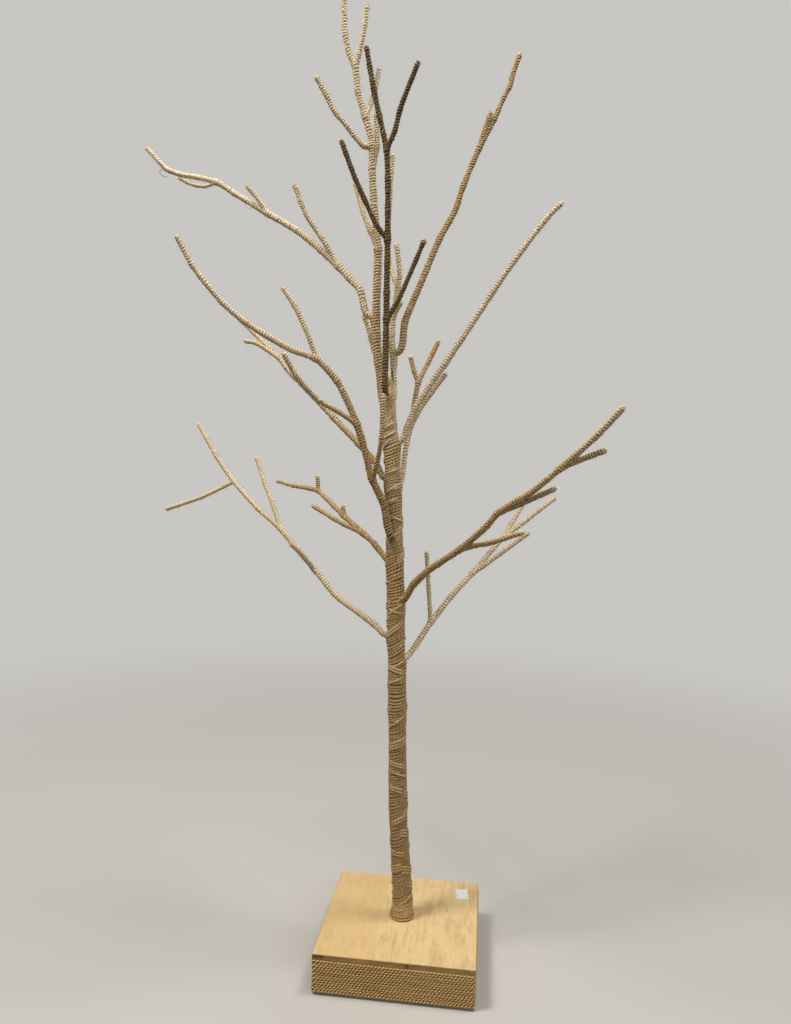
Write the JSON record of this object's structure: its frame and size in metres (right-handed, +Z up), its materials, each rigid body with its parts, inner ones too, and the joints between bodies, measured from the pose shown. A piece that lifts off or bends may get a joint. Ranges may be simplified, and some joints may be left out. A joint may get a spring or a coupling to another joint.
{
  "type": "artificial tabletop tree",
  "caption": "Leafless jute-wrapped twig tree with wire-cored bendable limbs, standing on a square wooden base wound with twine.",
  "frame": {"origin": "centre of the felt pad's underside, on the surface that the tree stands on", "axes": "+Z up along the trunk, -Y towards the front of the base, +X to the right seen from the front"},
  "size_m": [0.5884, 0.4534, 1.1901],
  "materials": {
    "jute": "coarse twisted jute twine wound side by side, matt and hairy",
    "top_wood": "thin satin lacquer over pale hardwood with straight grain",
    "box_wood": "sawn softwood, unfinished",
    "steel": "drawn wire and zinc-plated fixings",
    "felt": "pressed black felt",
    "plaster": "cast plaster, rough"
  },
  "bodies": {
    "stand": {"felt_pad": "felt", "bottom_board": "box_wood", "side_board_left": "box_wood", "side_board_right": "box_wood", "side_board_front": "box_wood", "side_board_back": "box_wood", "top_plank_left": "top_wood", "top_plank_right": "top_wood", "base_winding": "jute", "ballast_block": "plaster", "trunk_bolt": "steel", "bolt_washer": "steel", "bottom_screw_1": "steel", "bottom_screw_2": "steel", "bottom_screw_3": "steel", "bottom_screw_4": "steel", "trunk_core": "steel", "trunk_wrap": "jute", "foot_coil": "jute", "leader_wire": "steel", "leader_wrap": "jute", "back_stem_wire": "steel", "back_stem_wrap": "jute"},
    "front_high": {"front_high_wire": "steel", "front_high_wrap": "jute"},
    "right_high": {"right_high_wire": "steel", "right_high_wrap": "jute"},
    "left_high": {"left_high_wire": "steel", "left_high_wrap": "jute"},
    "left_short": {"left_short_wire": "steel", "left_short_wrap": "jute"},
    "right_mid": {"right_mid_wire": "steel", "right_mid_wrap": "jute"},
    "back_left": {"back_left_wire": "steel", "back_left_wrap": "jute"},
    "right_mid_back": {"right_mid_back_wire": "steel", "right_mid_back_wrap": "jute"},
    "front_left": {"front_left_wire": "steel", "front_left_wrap": "jute"},
    "left_low_back": {"left_low_back_wire": "steel", "left_low_back_wrap": "jute"},
    "right_low_front": {"right_low_front_wire": "steel", "right_low_front_wrap": "jute"},
    "left_low": {"left_low_wire": "steel", "left_low_wrap": "jute"},
    "right_low_back": {"right_low_back_wire": "steel", "right_low_back_wrap": "jute"}
  },
  "joints": [
    {"name": "front_high_bend", "type": "hinge", "parent": "stand", "child": "front_high", "pos_m": [-0.03917, -0.0149, 0.7057], "axis": [-0.9994, 0.0349, 0], "range_deg": [-12, 3]},
    {"name": "right_high_bend", "type": "hinge", "parent": "stand", "child": "right_high", "pos_m": [-0.02644, 0.02014, 0.7601], "axis": [0.5, -0.866, 0], "range_deg": [-15, 3]},
    {"name": "left_high_bend", "type": "hinge", "parent": "stand", "child": "left_high", "pos_m": [-0.0664, 0, 0.801], "axis": [0.1736, 0.9848, 0], "range_deg": [-15, 10]},
    {"name": "left_short_bend", "type": "hinge", "parent": "stand", "child": "left_short", "pos_m": [-0.05728, 0.00918, 0.758], "axis": [0.5, 0.866, 0], "range_deg": [-11, 10]},
    {"name": "right_mid_bend", "type": "hinge", "parent": "stand", "child": "right_mid", "pos_m": [-0.01753, 0, 0.6496], "axis": [-0.0523, -0.9986, 0], "range_deg": [-15, 12]},
    {"name": "back_left_bend", "type": "hinge", "parent": "stand", "child": "back_left", "pos_m": [-0.04194, 0.00762, 0.6034], "axis": [0.5, 0.866, 0], "range_deg": [-10, 12]},
    {"name": "right_mid_back_bend", "type": "hinge", "parent": "stand", "child": "right_mid_back", "pos_m": [-0.0224, 0.01401, 0.5836], "axis": [0.9063, -0.4226, 0], "range_deg": [-15, 7]},
    {"name": "front_left_bend", "type": "hinge", "parent": "stand", "child": "front_left", "pos_m": [-0.02661, -0.01617, 0.5308], "axis": [-0.2079, 0.9781, 0], "range_deg": [-15, 10]},
    {"name": "left_low_back_bend", "type": "hinge", "parent": "stand", "child": "left_low_back", "pos_m": [-0.03261, 0.01185, 0.4978], "axis": [0.7431, 0.6691, 0], "range_deg": [-15, 15]},
    {"name": "right_low_front_bend", "type": "hinge", "parent": "stand", "child": "right_low_front", "pos_m": [-0.00843, -0.01087, 0.4549], "axis": [-0.6691, -0.7431, 0], "range_deg": [-15, 15]},
    {"name": "left_low_bend", "type": "hinge", "parent": "stand", "child": "left_low", "pos_m": [-0.03438, 0, 0.4087], "axis": [0.4226, 0.9063, 0], "range_deg": [-15, 10]},
    {"name": "right_low_back_bend", "type": "hinge", "parent": "stand", "child": "right_low_back", "pos_m": [-0.00478, 0.01025, 0.379], "axis": [0.6428, -0.766, 0], "range_deg": [-15, 15]}
  ]
}
